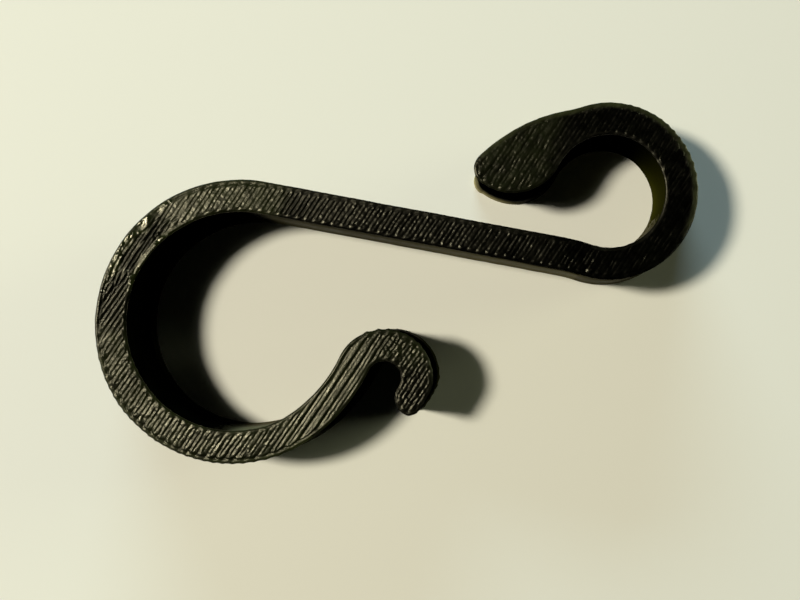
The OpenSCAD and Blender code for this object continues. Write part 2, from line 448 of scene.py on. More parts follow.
# ---------------- how the top face shines
def dullness(x, y, depth, kind, ang):
    """How much rougher than the rest the top is."""
    area = areas(x, y)
    dull = blend(area, side=-0.04, melt=-0.06, leaf=0.03, curl=0.02, dip=-0.035)
    dull -= 0.05 * area.ring * (1 - area.leaf)
    patchy = 0.72 + 0.34 * noise2(x, y, 0.6, seed=41)
    ragged = depth + 0.12 * noise2(x, y, 0.5, seed=42)
    upper = on(kind, "shank_high", "dip_high", "crown_out") * fade(-16.0, -12.0, x) * fade(16.0, 8.0, x)
    upper = 0.16 * upper * fade(0.64, 0.40, ragged) * patchy
    outer = 0.26 * ring_back(kind, ang) * fade(0.75, 0.35, ragged) * patchy
    inner = 0.06 * on(kind, "ring_in") * fade(0.40, 0.25, depth)
    rim = np.maximum(upper, np.maximum(outer, inner))
    dull = np.where(rim > 0.01, np.maximum(dull, rim), dull)
    for lump_x, lump_y, half_long, *_ in LUMPS:
        near = ((x - lump_x) ** 2 + (y - lump_y) ** 2) / (1.2 * half_long) ** 2
        dull -= 0.20 * np.maximum(1 - near, 0)
    return dull


def faintness(x, y):
    """Share of the surface that shines less than the rest: the rod loop's left side, lumps apart."""
    area = areas(x, y)
    faint = 0.85 * area.faint * (1 - 0.5 * fade(0.6, 0.9, area.width))
    for lump_x, lump_y, half_long, *_ in LUMPS:
        faint *= fade(0.9, 1.2, np.hypot(x - lump_x, y - lump_y) / half_long)
    return faint


def dustiness(x, y, depth, kind, ang):
    """How pale the top looks, 0 being near black: a paler tone that is partly painted sheen, with a painted
    reflection along the ring's outer edge.
    """
    area = areas(x, y)
    # paler tone by area, partly painted sheen
    pale = blend(area, crown=0.50, side=0.05, seat=0.38, toe=0.40, curl=0.30, curl_foot=-0.25, leaf=0.25)
    # painted reflection along the ring's outer edge; paler over the melted patch and along the seat's outer
    # rim
    for other in (0.7 * ring_back(kind, ang) * fade(0.60, 0.30, depth), 0.65 * area.melt,
                  0.85 * on(kind, "seat_out") * fade(0.55, 0.30, depth)):
        pale = np.maximum(pale, other)
    return np.clip(pale * (1 + 0.5 * noise2(x, y, 0.9, seed=51)), 0.0, 1.0)


# ---------------- the height of the top face
CREST_Z = 5.985                        # the printed lines' crests
RIM_Z = 5.9                            # foot of the bead round the edge
BAND_Z, BAND_W = 5.935, 0.5            # the low band that replaces the bead on the shank's upper edge
SMEAR_Z = 5.945                        # the melted patch
LEDGE_Z, LEDGE_SLOPE = 5.995, 0.15     # the smooth ledge on its inner side, which falls outwards
TOP_LIMIT = 6.12
TURN_R, TURN_CORE = 0.20, 0.13         # the round turn that joins two lines, and its flat core
EDGE_ROUND = 0.17                      # how far in from the edge the top rounds off
INWARD = ("shank_low", "dip_low", "crown_in", "dip_high", "ring_in")
# How far in from the edge the lines turn
PLAIN_LAP = 0.46
LAPS = [(INWARD, 0.22), (("seat_in", "toe_in", "curl_in", "belly"), 0.26),
        (("shank_high", "curl_out", "lip"), 0.32)]


def line_bodies(x, y, area, number, spaced):
    """How deep a point lies between the lines, from 0 on a crest to about 1 in a valley."""
    # each line leans on the one before it; on the stem and the leaf they ran together in pairs
    lean = blend(area, 0.05, crown=0.40, side=-0.45, seat=0.30, toe=0.42, leaf=0.30, far=-0.10, ring=-0.15,
                 curl_end=-0.4, shank_start=0.28, left=-0.30, past_start=-0.10, stem=0.22)
    lean = np.clip(lean + 0.15 * noise2(x, y, 2.2, seed=19), -0.5, 0.6 + 0.12 * area.stem)
    joined = blend(area, 0.05, leaf=0.45, stem=0.70) + 0.25 * noise2(x, y, 2.5, seed=4)
    joined = np.clip(joined, 0, 0.9)
    curve = blend(area, 1.6, toe=-0.4, crown=-0.3, shank=-0.32, seat=0.35)
    curve -= 0.45 * np.maximum(area.side, area.left)

    def body(t):
        """One line's section, where t runs from -1 to 1 across it."""
        before, after = (lean - t) / (1 + lean), (t - lean) / (1 - lean)
        return np.where(t < lean, np.abs(before) ** curve, np.abs(after) ** 1.9)

    single = ((spaced + 0.5) % 1 - 0.5) * 2
    pair = (number + 0.5) % 2 - 1
    return body(single) * (1 - joined) + body(pair) * 1.2 * joined


def line_crests(area, kind, number, spaced, s, across, run, steep, upper):
    """Height of the lines' crests, with the knobs where they turn."""
    line = np.floor(spaced + 0.5)
    crest = CREST_Z + 0.012 * (1 - area.stem) * noise1(s, 0.8, seed=7, shift=31 * rnd(line, 3))
    crest += 0.012 * either(line, 8)
    beaded = blend(area, seat=0.014, curl=0.026, crown=0.010)
    crest += beaded * noise1(s, 0.32, seed=27, shift=53 * rnd(line, 5))
    crest += np.where(line % 2 == 1, -0.004, 0.008)
    inward = on(kind, *INWARD)
    near = np.where(inward, (run - 0.17) ** 2 / 0.036, (run - 0.24) ** 2 / 0.060)
    near = near + across ** 2 / np.where(inward, 0.080, 0.022)
    tall = np.where(inward, 0.025, 0.055) * np.where(on(kind, "ring_in"), 0.4, 1.0)
    tall = tall * (0.4 + 0.9 * rnd(np.floor(number / 2), 6)) * np.where(upper, 0.6, 1.0)
    return crest + tall * np.exp(-near) * fade(0.3, 0.6, steep)


def valley_depth(x, y, w, s, area, number):
    """How far the valleys lie below the crests."""
    deep = blend(area, 0.100, crown=-0.048, seat=-0.042, toe=-0.010, stem=0.028, far=-0.035, curl=-0.030,
                 side=0.03)
    deep -= 0.045 * area.shank * (1 - area.far)
    deep += 0.025 * noise2(x, y, 1.1, seed=6) * (1 - 0.7 * area.ring)
    pair = np.floor((number - 0.5) / 2)
    deep = deep * (1 + (0.25 - 0.08 * area.stem) * either(pair, 9))
    dash = fade(0.05, 0.55, noise2(w, s, (0.6, 1.1), seed=30))
    return deep + area.end * (0.028 + 0.060 * dash - deep)


def grains(x, y, w, s, area):
    """Streaks and grains left in the plastic, as a height."""
    plain = (1 - 0.75 * area.stem) * (1 - 0.4 * area.crown) * (1 - 0.5 * area.ring) * (1 - 0.6 * area.side)
    total = 0.006 * plain * noise2(x, y, 0.12, seed=25)
    # how high, how wide across the lines and how long along them, and the seed
    for high, size, seed in (
        (0.010 * plain, (0.13, 0.33), 24),
        (blend(area, leaf=0.045, curl=0.020), (0.30, 0.9), 17),
        (0.024 * area.farther * (1 - 0.7 * area.end), (0.22, 0.36), 29),
        (0.015 * area.shank * (1 - area.end), (0.3, 0.2), 32),
        (blend(area, seat=0.012, crown=0.008, toe=0.008), (0.10, 0.16), 31),
        (0.018 * area.seat, (0.35, 0.28), 39),
        (0.042 * area.curl, (0.24, 0.24), 37),
    ):
        total += high * noise2(w, s, size, seed)
    return total


def ledge_height(area):
    return LEDGE_Z - LEDGE_SLOPE * STRIP_W * area.width


def melt_over(x, y, area, lines, ledge):
    """The melted patch: a smear with long grooves in place of lines, and a smooth ledge."""
    smear = SMEAR_Z + 0.065 * noise2(x, y, 0.75, seed=11) + 0.012 * noise2(x, y, 0.25, seed=12)
    lines = lines * (1 - area.melt) + smear * area.melt
    lines = lines + (ledge_height(area) - lines) * ledge
    for a0, a1, at, deep in GROOVES:
        way = at + 0.03 * noise1(area.turn, 7, seed=18 + at)
        cut = np.exp(-((area.width - way) * STRIP_W / GROOVE_W) ** 2)
        cut = cut * fade(a0, a0 + GROOVE_FADE, area.turn) * fade(a1, a1 - GROOVE_FADE, area.turn)
        lines = lines - deep * cut * area.grooved
    return lines


def edge_bead(x, y, depth, kind, ang, along, ends, steep):
    """Height of the bead round the edge, which the turns draw out, and its half width."""
    wide = np.where(on(kind, "shank_high"), 0.34, BEAD)
    wide = wide + 0.10 * on(kind, "ring_out") * fade(-25, 0, ang) * fade(115, 95, ang)
    f = np.clip((depth - wide) / np.where(depth < wide, wide, BEAD), -1, 1)
    shoulder = 0.050 + 0.014 * ends * fade(0.3, 0.7, steep) + 0.012 * noise1(along, 0.45, seed=13)
    shoulder += 0.008 * noise2(x, y, 0.14, seed=14)
    rim = RIM_Z + shoulder * np.sqrt(np.maximum(1 - f * f, 0))
    band = BAND_Z + 0.030 * ends + 0.014 * noise2(x, y, 0.3, seed=15)
    band -= 0.06 * np.maximum(0.10 - depth, 0) / 0.10
    rim = np.where(on(kind, "shank_high") & (depth < BAND_W), band, rim)
    return np.where(f >= 1, 0.0, rim), wide


def edge_drop(depth, kind, ang):
    """How far the top rounds off towards its edge."""
    soft = np.maximum(on(kind, "shank_high"), ring_back(kind, ang))
    most = np.where(soft > 0.5, 0.04, np.where(on(kind, "ring_in"), 0.06, 0.13))
    return most * np.maximum(1 - depth / EDGE_ROUND, 0) ** 1.4


def top_height(x, y, depth, edge):
    """Height of the top face. depth is the way in from the nearest edge, and edge is that edge's normal,
    way round, piece and angle."""
    nx, ny, along, kind, ang = edge
    area = areas(x, y)
    s, w = x * LINE_D[0] + y * LINE_D[1], x * LINE_E[0] + y * LINE_E[1]
    facing = nx * LINE_D[0] + ny * LINE_D[1]
    steep, upper = np.abs(facing), facing > 0

    wander = 0.09 * noise2(x, y, 1.7, seed=1) + 0.05 * noise2(x, y, 0.45, seed=2)
    number = line_number(x, y) + blend(area, 1.0, leaf=2.2, curl=0.8, stem=-0.4) * wander
    uneven = 0.10 + 0.06 * noise2(x, y, 3.0, seed=16) + 0.05 * area.stem
    spaced = number + uneven * np.sin(math.pi * number)

    # where two lines turn and join: the way across from the nearest turn, and along the line from it
    turns = number - np.where(upper, 1.5, 0.5)
    across = ((turns + 1) % 2 - 1) * PITCH
    lap = by_piece(kind, PLAIN_LAP, LAPS) + 0.05 * rnd(np.floor((turns + 1) / 2), 6)
    run = (depth - lap) / np.maximum(steep, 0.4)
    blob = np.hypot(across, np.minimum(run - TURN_R, 0) * 1.3)
    turned = (2 * np.maximum(blob - TURN_CORE, 0) * 0.9 / PITCH) ** 2
    in_turn = fade(0.2, 0.5, steep) * fade(TURN_R + 0.10, TURN_R - 0.12, run)

    bodies = line_bodies(x, y, area, number, spaced)
    bodies = np.minimum(bodies + (turned - bodies) * in_turn, 1.6)
    lines = line_crests(area, kind, number, spaced, s, across, run, steep, upper)
    lines = lines - valley_depth(x, y, w, s, area, number) * bodies + grains(x, y, w, s, area)
    ledge = fade(137, 140, area.turn) * fade(164, 158, area.turn) * fade(0.21, 0.17, area.width)
    lines = melt_over(x, y, area, lines, ledge)

    rim, wide = edge_bead(x, y, depth, kind, ang, along, np.cos(math.pi * turns), steep)
    z = rim + (np.maximum(rim, lines) - rim) * fade(0.35, 1.1, depth / wide) - edge_drop(depth, kind, ang)
    z = np.where(ledge > 0.5, np.maximum(z, ledge_height(area) - np.maximum(0.08 - depth, 0)), z)
    for lump_x, lump_y, half_long, half_wide, turn, high in LUMPS:
        c, q = math.cos(math.radians(turn)), math.sin(math.radians(turn))
        u, v = (x - lump_x) * c + (y - lump_y) * q, (y - lump_y) * c - (x - lump_x) * q
        out = (u / half_long) ** 2 + (v / half_wide) ** 2
        z = z + LUMP_RISE * high * np.maximum(1 - out, 0) ** 1.5 * fade(0.02, 0.2, depth)
    return np.minimum(z, TOP_LIMIT)


# ---------------- mesh helpers
def new_object(name, verts, faces):
    """A smooth mesh object from points in mm and a list of faces."""
    mesh = bpy.data.meshes.new(name)
    verts = np.asarray(verts, dtype=np.float64) * MM
    sizes = np.array([len(f) for f in faces])
    flat = np.concatenate([np.asarray(f) for f in faces])
    mesh.vertices.add(len(verts))
    mesh.vertices.foreach_set("co", verts.ravel())
    mesh.loops.add(len(flat))
    mesh.loops.foreach_set("vertex_index", flat.astype(np.int32))
    mesh.polygons.add(len(sizes))
    mesh.polygons.foreach_set("loop_start", (np.cumsum(sizes) - sizes).astype(np.int32))
    mesh.update(calc_edges=True)
    mesh.polygons.foreach_set("use_smooth", np.ones(len(sizes), dtype=bool))
    mesh.update()
    obj = bpy.data.objects.new(name, mesh)
    bpy.context.scene.collection.objects.link(obj)
    return obj


def set_looks(piece, slots, **values):
    """Gives each face its material slot, and each point its values under their names."""
    piece.data.polygons.foreach_set("material_index", slots)
    for name, value in values.items():
        attribute = piece.data.attributes.new(name, "FLOAT", "POINT")
        attribute.data.foreach_set("value", value.astype(np.float32))


def fill(loop, inner=None):
    """Triangles over a closed outline with points inside it; the outline's points come first."""
    pts = loop if inner is None else np.concatenate([loop, inner])
    verts, _, tris, origin, _, owner = delaunay_2d_cdt(
        [Vector(p) for p in pts.tolist()], [], [list(range(len(loop)))], 1, 1e-7, True)
    if len(verts) != len(pts):
        raise ValueError("points ran together: %d of %d" % (len(verts), len(pts)))
    back = [o[0] for o in origin]
    return [tuple(back[i] for i in t) for t, own in zip(tris, owner) if own]


def walls(rows, n):
    """Quads between rows of n points round the outline, the lowest row first."""
    i = np.arange(n)
    j = (i + 1) % n
    quads = [np.stack([r * n + i, r * n + j, r * n + n + j, r * n + n + i], 1) for r in range(rows - 1)]
    return np.concatenate(quads)


def edge_finder(pts, nrm, kind, ang, along):
    """A function that gives, for points, their depth inside the nearest edge and what edge that is."""
    tree = KDTree(len(pts))
    for i, p in enumerate(pts.tolist()):
        tree.insert((p[0], p[1], 0.0), i)
    tree.balance()

    def find(xy):
        k = np.array([tree.find((p[0], p[1], 0.0))[1] for p in xy.tolist()])
        return -((xy - pts[k]) * nrm[k]).sum(1), (nrm[k, 0], nrm[k, 1], along[k], kind[k], ang[k])
    return find


def line_grid(per_line, spacing):
    """Points in rows that follow the printed lines, over the whole hook's box."""
    lo, hi = cad_lo / MM, cad_hi / MM
    corners = np.array([[lo[0], lo[1]], [lo[0], hi[1]], [hi[0], lo[1]], [hi[0], hi[1]]])
    e, d = corners @ LINE_E, corners @ LINE_D
    first, last = math.floor(e.min() / PITCH * per_line), math.ceil(e.max() / PITCH * per_line)
    k, s = np.meshgrid(np.arange(first, last + 1), np.arange(d.min(), d.max(), spacing), indexing="ij")
    s = s + (k % 2) * spacing / 2
    base = k * PITCH / per_line
    w = base.copy()
    for _ in range(3):
        x, y = w * LINE_E[0] + s * LINE_D[0], w * LINE_E[1] + s * LINE_D[1]
        w = base + line_shift(x, y) * PITCH + (LINE_ZERO - round(LINE_ZERO)) * PITCH
    x, y = w * LINE_E[0] + s * LINE_D[0], w * LINE_E[1] + s * LINE_D[1]
    return np.stack([x.ravel(), y.ravel()], 1)


def inside_points(grid, find, pts, clear):
    """The grid's points that lie inside the outline, at least `clear` from it."""
    lo, hi = pts.min(0), pts.max(0)
    grid = grid[((grid > lo) & (grid < hi)).all(1)]
    depth, edge = find(grid)
    keep = depth > clear
    return grid[keep], depth[keep], tuple(e[keep] for e in edge)


# ---------------- the top layer
EDGE_STEP, FINE_STEP = 0.15, 0.05      # between points of the edge, and of the finer one to measure from
# How far in from the edge its first rows of points lie
RIM_DEPTHS = [0.012, 0.035, 0.07, 0.115, 0.165, 0.21, 0.255, 0.305, 0.35, 0.39, 0.43]
INNER_CLEAR = 0.465                    # where the points that follow the lines take over
POINTS_PER_LINE, POINT_STEP = 6, 0.1
TUCK = 0.05                            # how far the top layer's underside stands back
UNDER_Z = STRIP_H - LAYER - 0.02       # the underside, which lies a hair inside the layers below
SIDE_Z = STRIP_H - 0.8 * LAYER         # where its side begins


def top_edge(spacing):
    """The top layer's outline, with its knobs."""
    pts, nrm, kind, ang, along = outline(spacing)
    shift = drift(kind, ang, along) + TOP_KNOB * knob_gain(kind, ang) * knobs(pts, nrm, LINE_DIR, 1)
    return pts + nrm * shift[:, None], nrm, kind, ang, along


def make_top_layer():
    pts, nrm, kind, ang, along = top_edge(EDGE_STEP)
    n = len(pts)
    # every second row's points lie halfway between those of the row before
    rows = []
    for i, inset in enumerate(RIM_DEPTHS):
        half = (np.roll(pts, -1, 0) + pts) / 2 if i % 2 else pts
        half_nrm = (np.roll(nrm, -1, 0) + nrm) / 2 if i % 2 else nrm
        rows.append(half - half_nrm * inset)
    grid = line_grid(POINTS_PER_LINE, POINT_STEP)
    inner, in_depth, in_edge = inside_points(grid, edge_finder(*top_edge(FINE_STEP)), pts, INNER_CLEAR)

    top = np.concatenate(rows + [inner])
    depth = np.concatenate([np.repeat(RIM_DEPTHS, n), in_depth])
    rim_edge = (nrm[:, 0], nrm[:, 1], along, kind, ang)
    edge = tuple(np.concatenate([np.tile(r, len(RIM_DEPTHS)), e]) for r, e in zip(rim_edge, in_edge))
    x, y = top[:, 0], top[:, 1]
    low = np.c_[pts - nrm * TUCK, np.full(n, UNDER_Z)]
    side = np.c_[pts, np.full(n, SIDE_Z)]
    verts = np.concatenate([low, side, np.c_[top, top_height(x, y, depth, edge)]])

    cap = fill(pts, top)
    faces = list(walls(2, n)) + [tuple(i + n for i in t) for t in cap]
    faces += [t[::-1] for t in fill(low[:, :2])]
    piece = new_object("top_layer", verts, faces)

    # part of the cap's triangles shine faintly
    mids = np.array([np.mean(verts[list(f), :2], 0) for f in faces[n:n + len(cap)]])
    slots = np.zeros(len(faces), dtype=np.int32)
    slots[n:n + len(cap)] = faintness(mids[:, 0], mids[:, 1]) > rnd(np.arange(len(mids)), 61)
    below = np.zeros(2 * n)
    set_looks(piece, slots, dull=np.concatenate([below, dullness(x, y, depth, *edge[3:])]),
              dust=np.concatenate([below, dustiness(x, y, depth, *edge[3:])]))
    return piece


# ---------------- the layers below it
WALL_STEP = 0.24                       # between points of a wall
GROOVE = 0.028                         # depth of the groove between two layers
FOOT = 0.05                            # how far the foot spreads on the print bed
FOOT_EDGE = 0.02                       # how far its lowest edge stands back, and the row above stands out
LEAF_SAG, LEAF_FOOT_IN, NOSE_OUT = 0.24, 0.10, 0.30     # the leaf's wall, its foot and its nose's foot
UNLIT_FROM = 0.75                      # height above which walls get the painted shade
SEEN_WALLS = ("shank_low", "dip_low", "crown_in", "seat_in", "ring_in")
BED_CLEAR = 0.14                       # between the bed face's edge and the points inside it
# material slots: the walls with their painted light, the walls with painted shade, and plain
WALL_SLOT, PAINTED_SHADE_SLOT, PLAIN_SLOT = 0, 1, 2


def painted_shade_share(kind, ang):
    """Share of each wall that gets painted shade: the black material without gloss, where the walls look
    unlit.
    """
    dark = on(kind, "tip", "belly", "curl_in", "lip", "curl_out", "toe_out") * 1.0
    for name, share in (("ring_in", fade(-28, -2, ang)), ("crown_in", fade(84, 104, ang)),
                        ("seat_in", fade(288, 262, ang))):
        dark = np.where(on(kind, name), share, dark)
    return dark


def leaf_foot(kind, ang):
    """Where the leaf's foot is drawn out at its nose, and where its wall sags in above the foot."""
    nose, under = np.zeros(len(kind)), np.zeros(len(kind))
    m = on(kind, "tip")
    nose[m] = bump(ang[m], at=200, width=26)
    under[m] = fade(170, 200, ang[m])
    m = on(kind, "belly")
    under[m] = fade(300, 262, ang[m])
    return nose, under


def wall_rows(pts, nrm, kind, ang, along):
    """Two rows of points for each layer, the lowest first, and one under the top layer."""
    base, gain = drift(kind, ang, along), knob_gain(kind, ang)
    nose, under = leaf_foot(kind, ang)
    rows = []
    for k in range(LAYERS - 1):
        z0 = k * LAYER
        way = LINE_DIR if k % 2 else LINE_DIR - math.pi / 2
        swing = base + WALL_KNOB * gain * knobs(pts, nrm, way, k) + 0.012 * either(k, 4)
        swing += 0.010 * noise1(along, 1.3, seed=21 + k, shift=17 * rnd(k, 5))
        swing += FOOT - WALL_INSET * fade(0.1, 0.9, z0)
        swing -= LEAF_SAG * under * fade(0.25, 0.7, z0) * fade(5.6, 4.6, z0)
        swing += (NOSE_OUT * nose - LEAF_FOOT_IN * under) * fade(0.7, 0.3, z0)
        low, high = (FOOT_EDGE, FOOT_EDGE) if k == 0 else (GROOVE, 0.0)
        rows.append(np.c_[pts + nrm * (swing - low)[:, None], np.full(len(pts), z0)])
        rows.append(np.c_[pts + nrm * (swing + high)[:, None], np.full(len(pts), z0 + LAYER / 2)])
    last = base - WALL_INSET - 0.02
    rows.append(np.c_[pts + nrm * last[:, None], np.full(len(pts), STRIP_H - LAYER)])
    return rows


def wall_brink(pts):
    """Height above which the walls that show lie in the top layer's shade."""
    return 5.5 - 1.1 * fade(2.0, 14.0, pts[:, 0])


def unlit_quads(quads, rows, pts, kind, shaded):
    """The wall's quads that get the painted shade, the unlit material."""
    n, brink, seen = len(pts), wall_brink(pts), on(kind, *SEEN_WALLS)
    ring = on(kind, "ring_in")
    unlit = []
    for f, quad in enumerate(quads):
        i, z = quad[0] % n, rows[quad[0] // n][0, 2]
        share = shaded[i] if ring[i] else fade(0.5, 0.9, shaded[i])
        if (z > UNLIT_FROM or ring[i]) and rnd(i, z * 7) < share or seen[i] and z > brink[i]:
            unlit.append(f)
    return unlit


def wall_dust(rows, pts, kind, ang, shaded):
    """Painted light on the walls, row by row: the floor's light and its reflection, painted into the walls
    that face the camera, with painted shade under the top layer and towards the top of the ring's inner
    wall, and a painted highlight on the leaf's foot.
    """
    nose, under = leaf_foot(kind, ang)
    ring = on(kind, "ring_in")
    bare = 0.010
    lit = fade(0.6, 0.0, shaded)
    pale = np.full(len(pts), bare)
    # painted light: the floor's light and its reflection, painted into the walls that face the camera, none
    # on the walls with painted shade
    for name, share in (("shank_low", 0.19 + 0.17 * fade(10, 24, ang)), ("dip_low", 0.36),
                        ("ring_out", 0.19 * fade(-35, -80, ang)), ("crown_in", 0.19 * lit),
                        ("toe_in", 0.03 * fade(seat_a1, toe_a1, ang)),
                        ("seat_in", 0.22 * lit * (1 - 0.9 * fade(298, seat_a1, ang))), ("tip", 0.0),
                        ("belly", 0.0), ("curl_in", 0.0), ("lip", 0.0), ("curl_out", 0.0), ("toe_out", 0.0)):
        pale = np.where(on(kind, name), np.maximum(share, bare * (1 - shaded)), pale)
    # the ring's inner wall: painted floor light, and on its shaded part a painted light that fades from
    # angle 5 to 75
    in_ring = 0.155 - 0.035 * fade(-30, -5, ang)
    in_ring = in_ring + (0.32 * fade(75, 5, ang) - in_ring) * shaded
    pale = np.where(ring, in_ring, pale)
    banded = on(kind, *SEEN_WALLS) & ~ring
    dust = []
    for row in rows:
        z = row[0, 2]
        # painted shade: the ring's shaded inner wall darkens towards its top
        high = ring * z / STRIP_H
        # painted shade on the walls that show, just under the top layer
        band = 1 - 0.9 * banded * fade(-0.5, 0.0, z - wall_brink(pts))
        # painted highlight on the leaf's foot
        foot = fade(0.7, 0.3, z) * np.maximum(nose, 0.8 * under)
        dust.append(np.maximum(pale * band * (1 + high * shaded * (0.55 * high - 1.10)), foot))
    return np.concatenate(dust)


def bed_points(loop, nrm, kind, ang, along):
    """Points of the face that lay on the print bed: flat lines pressed side by side, across the top's."""
    quarter_turn = np.array([[0.0, 1.0], [-1.0, 0.0]])
    find = edge_finder(loop, nrm, kind, ang, along)
    inner, depth, _ = inside_points(line_grid(4, 0.4) @ quarter_turn, find, loop, BED_CLEAR)
    turned = inner @ quarter_turn.T
    number = line_number(turned[:, 0], turned[:, 1])
    gap = np.abs(number - np.floor(number + 0.5)) * 2
    z = 0.028 * fade(0.55, 1.0, gap) * fade(0.3, 0.5, depth) + 0.02 * bump(depth, at=0.42, width=0.05)
    return np.c_[inner, z]


def make_lower_layers():
    pts, nrm, kind, ang, along = outline(WALL_STEP)
    n = len(pts)
    rows = wall_rows(pts, nrm, kind, ang, along)
    shaded = painted_shade_share(kind, ang)
    quads = list(walls(len(rows), n))
    cap = [tuple(i + (len(rows) - 1) * n for i in t) for t in fill(rows[-1][:, :2])]
    loop = rows[0][:, :2]
    bed = bed_points(loop, nrm, kind, ang, along)
    start = len(rows) * n
    under = [tuple(i if i < n else i - n + start for i in t[::-1]) for t in fill(loop, bed[:, :2])]
    verts = np.concatenate(rows + [bed])
    piece = new_object("lower_layers", verts, quads + cap + under)

    slots = np.full(len(quads) + len(cap) + len(under), PLAIN_SLOT, dtype=np.int32)
    slots[:len(quads)] = WALL_SLOT
    # painted shade: the black material without gloss on the walls that look unlit
    slots[unlit_quads(quads, rows, pts, kind, shaded)] = PAINTED_SHADE_SLOT
    dull = np.concatenate([np.full(n, 0.02 + 0.33 * fade(2.0, 5.0, row[0, 2])) for row in rows])
    below = np.zeros(len(bed))
    set_looks(piece, slots, dull=np.concatenate([dull, below]),
              dust=np.concatenate([wall_dust(rows, pts, kind, ang, shaded), below]))
    return piece


# ---------------- materials
# The colours of the black plastic, in small patches of dark and light, a little lighter on the walls as part
# of their painted light, and the pale colours mixed in where the pale attribute is 1: on the top a paler
# tone that is partly painted sheen, on the walls painted light from the floor, and on the ring's inner wall
# with the painted shade a painted light that fades towards its top.
DARK, LIGHT = (0.0001, 0.0001, 0.0001), (0.0005, 0.0006, 0.0003)
WALL_DARK, WALL_LIGHT = (0.0016, 0.0016, 0.0003), (0.0045, 0.0044, 0.0008)
TOP_PALE_SHEEN, WALL_PAINTED_LIGHT, SHADE_MAT_PAINTED_LIGHT = (0.0155, 0.0190, 0.0060), (0.33, 0.30, 0.165), (0.085, 0.089, 0.010)
GLOSS_TINT = (1.0, 0.97, 0.80)
IOR = 1.5
ROUGH_LOW, ROUGH_HIGH = 0.26, 0.41
PATCH_SCALE, ROUGH_SCALE, GRAIN_SCALE = 420, 1400, 6500     # of the noises, per metre
GRAIN_STRENGTH, GRAIN_HIGH = 0.5, 0.03


def ramp(nt, value, lo, hi, a, b, kind="LINEAR"):
    """Takes a node's value from between lo and hi to between a and b."""
    node = nt.nodes.new("ShaderNodeMapRange")
    node.interpolation_type = kind
    for socket, number in (("From Min", lo), ("From Max", hi), ("To Min", a), ("To Max", b)):
        node.inputs[socket].default_value = number
    nt.links.new(value, node.inputs["Value"])
    return node.outputs["Result"]


def maths(nt, operation, first, second):
    node = nt.nodes.new("ShaderNodeMath")
    node.operation = operation
    nt.links.new(first, node.inputs[0])
    nt.links.new(second, node.inputs[1])
    return node


def plastic(name, dark, light, dusty, level):
    """Black plastic, whose fourth colour is mixed in as painted light where the pale attribute is 1; "dull"
    roughens it, and level is its gloss.
    """
    mat = bpy.data.materials.new(name)
    mat.use_nodes = True
    nt = mat.node_tree
    nt.nodes.clear()
    out = nt.nodes.new("ShaderNodeOutputMaterial")
    bsdf = nt.nodes.new("ShaderNodeBsdfPrincipled")
    nt.links.new(bsdf.outputs["BSDF"], out.inputs["Surface"])
    co = nt.nodes.new("ShaderNodeTexCoord")

    def noise(scale, rough=0.5):
        node = nt.nodes.new("ShaderNodeTexNoise")
        node.inputs["Scale"].default_value = scale
        node.inputs["Detail"].default_value = 3
        node.inputs["Roughness"].default_value = rough
        nt.links.new(co.outputs["Object"], node.inputs["Vector"])
        return node.outputs["Fac"]

    def attribute(named):
        node = nt.nodes.new("ShaderNodeAttribute")
        node.attribute_name = named
        return node.outputs["Fac"]

    def mixed(fac, b):
        node = nt.nodes.new("ShaderNodeMix")
        node.data_type = "RGBA"
        node.inputs["B"].default_value = (*b, 1)
        nt.links.new(fac, node.inputs["Factor"])
        return node

    patches = mixed(ramp(nt, noise(PATCH_SCALE), 0.35, 0.65, 0, 1), light)
    patches.inputs["A"].default_value = (*dark, 1)
    colour = mixed(attribute("dust"), dusty)
    nt.links.new(patches.outputs["Result"], colour.inputs["A"])
    nt.links.new(colour.outputs["Result"], bsdf.inputs["Base Color"])
    own = ramp(nt, noise(ROUGH_SCALE), 0.3, 0.7, ROUGH_LOW, ROUGH_HIGH)
    rough = maths(nt, "ADD", own, attribute("dull"))
    nt.links.new(rough.outputs["Value"], bsdf.inputs["Roughness"])
    bsdf.inputs["IOR"].default_value = IOR
    bsdf.inputs["Specular IOR Level"].default_value = level
    bsdf.inputs["Specular Tint"].default_value = (*GLOSS_TINT, 1)

    grain = nt.nodes.new("ShaderNodeBump")
    grain.inputs["Strength"].default_value = GRAIN_STRENGTH
    grain.inputs["Distance"].default_value = GRAIN_HIGH * MM
    nt.links.new(noise(GRAIN_SCALE, rough=0.6), grain.inputs["Height"])
    nt.links.new(grain.outputs["Normal"], bsdf.inputs["Normal"])
    return mat


# ---------------- surroundings, in metres
FLOOR_HALF, FLOOR_Z = 3.0, -0.00002
FLOOR_COLOUR = (0.76, 0.77, 0.76)

# the world's low glow: the way to it, how near to that way and how low it is, and its strength
GLOW_WAY = (0.877, 0.480, 0.0)
GLOW_RIM, GLOW_CORE = 0.960, 0.995
GLOW_LOW, GLOW_HIGH = 0.09, 0.18
GLOW_LEVEL, SKY_LEVEL = 50.0, 0.002
GLOW_COLOUR = (0.95, 1.0, 0.60)

# the lamps: name, azimuth, elevation, distance, size, level, colour, and whether the gloss shows it
LAMPS = [
    ("key", 180.8, 46.4, 0.95, (0.16, 0.18), 0.82, (1.0, 0.925, 0.70), True),
    ("halo", 180.8, 46.4, 0.95, (0.34, 0.38), 0.040, (1.0, 0.97, 0.80), False),
    ("fill", 107.5, 9.5, 1.2, (0.8, 0.17), 0.17, (0.68, 0.96, 1.04), False),
]

# the camera looks straight down; the pixels are those of the photo
PHOTO_W, PHOTO_H = 800, 600
FOCAL_PX = 678.7
UNDER_CAMERA_PX = (505, 335)
CAMERA_AT = (0.01205, -0.00351, 0.0732)
CAMERA_TURN = 10.524
SENSOR_MM = 36.0


